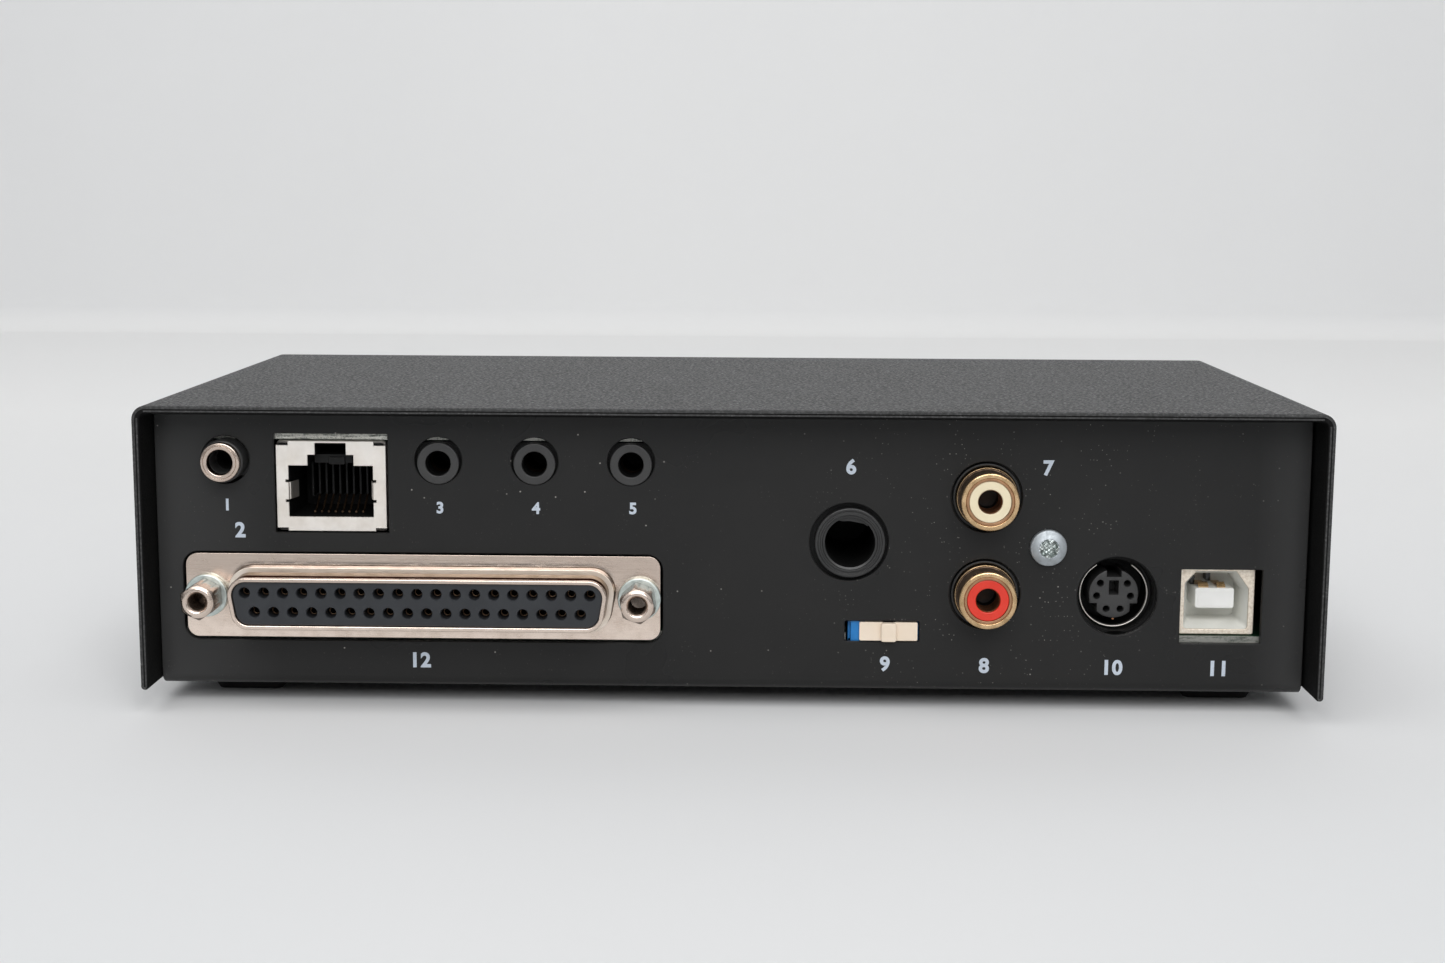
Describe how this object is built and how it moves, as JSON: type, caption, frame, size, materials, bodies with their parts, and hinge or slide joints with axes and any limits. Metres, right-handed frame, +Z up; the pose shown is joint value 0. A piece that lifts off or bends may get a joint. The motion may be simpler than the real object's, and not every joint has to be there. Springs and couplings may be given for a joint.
{
  "type": "morse code keyer",
  "caption": "Desktop box for electronic Morse keying: bent steel cover over a chassis, a rear panel of radio, paddle, audio and computer sockets, a slide switch and a front speed knob.",
  "frame": {"origin": "centre of the bounding box's base, on the surface that the feet stand on", "axes": "+X to the right as the rear connector panel is seen from behind, +Y from the rear panel to the front panel, +Z up"},
  "size_m": [0.174, 0.0934, 0.0449],
  "materials": {
    "cover_coat": "finely pebbled charcoal powder coat",
    "chassis_paint": "smooth satin black paint",
    "foot_rubber": "matt black rubber",
    "zinc_steel": "bright zinc plate",
    "blued_zinc": "pale greenish zinc plate",
    "nickel": "warm satin nickel plate",
    "gold_plate": "gold plate",
    "black_plastic": "satin black plastic",
    "dark_insulator": "matt dark grey plastic",
    "white_plastic": "off-white plastic",
    "red_plastic": "red plastic",
    "blue_plastic": "blue plastic",
    "cream_plastic": "cream plastic",
    "board_green": "green solder mask on glass-fibre board",
    "chip_epoxy": "matt black epoxy",
    "lamp_green": "clear green epoxy"
  },
  "bodies": {
    "case": {"top_cover": "cover_coat", "base_chassis": "chassis_paint", "cover_screw_rear_left": "zinc_steel", "cover_screw_rear_right": "zinc_steel", "cover_screw_front_left": "zinc_steel", "cover_screw_front_right": "zinc_steel", "foot_rear_left": "foot_rubber", "foot_rear_right": "foot_rubber", "foot_front_left": "foot_rubber", "foot_front_right": "foot_rubber", "main_board": "board_green", "upper_board": "board_green", "standoff_rear_left": "zinc_steel", "standoff_rear_right": "zinc_steel", "standoff_front_left": "zinc_steel", "standoff_front_right": "zinc_steel", "board_spacer_rear_left": "zinc_steel", "board_spacer_rear_right": "zinc_steel", "board_spacer_front_left": "zinc_steel", "board_spacer_front_right": "zinc_steel", "board_screw_rear_left": "zinc_steel", "board_screw_rear_right": "zinc_steel", "board_screw_front_left": "zinc_steel", "board_screw_front_right": "zinc_steel", "microcontroller": "chip_epoxy", "keying_relay": "chip_epoxy", "board_link": "black_plastic", "dsub_shell": "nickel", "dsub_insulator": "dark_insulator", "jackscrew_washer_left": "blued_zinc", "jackscrew_washer_right": "blued_zinc", "jackscrew_left": "nickel", "jackscrew_right": "nickel", "ext_mic_jack": "black_plastic", "ext_mic_ring": "nickel", "modular_socket_shield": "nickel", "modular_socket_body": "black_plastic", "line_output_jack": "black_plastic", "line_input_jack": "black_plastic", "microphone_jack": "black_plastic", "paddle_jack": "black_plastic", "mode_switch_body": "blue_plastic", "phono_housing": "black_plastic", "phono_screw": "zinc_steel", "phono_shell_upper": "gold_plate", "phono_shell_lower": "gold_plate", "phono_insulator_upper": "white_plastic", "phono_insulator_lower": "red_plastic", "remote_socket_body": "black_plastic", "remote_socket_ring": "nickel", "usb_shell": "nickel", "usb_insulator": "white_plastic", "speed_pot_body": "zinc_steel", "speed_pot_nut": "zinc_steel", "status_lamp_1": "lamp_green", "status_lamp_2": "lamp_green", "status_lamp_3": "lamp_green"},
    "switch_lever": {"mode_switch_slider": "cream_plastic"},
    "speed_control": {"speed_pot_shaft": "zinc_steel", "speed_knob": "black_plastic"}
  },
  "joints": [
    {"name": "mode_switch_slide", "type": "slide", "parent": "case", "child": "switch_lever", "axis": [1, 0, 0], "range_m": [-0.0019, 0]},
    {"name": "speed_knob_turn", "type": "hinge", "parent": "case", "child": "speed_control", "pos_m": [0.05506, 0.0321, 0.0238], "axis": [0, 1, 0], "range_deg": [-150, 150]}
  ]
}
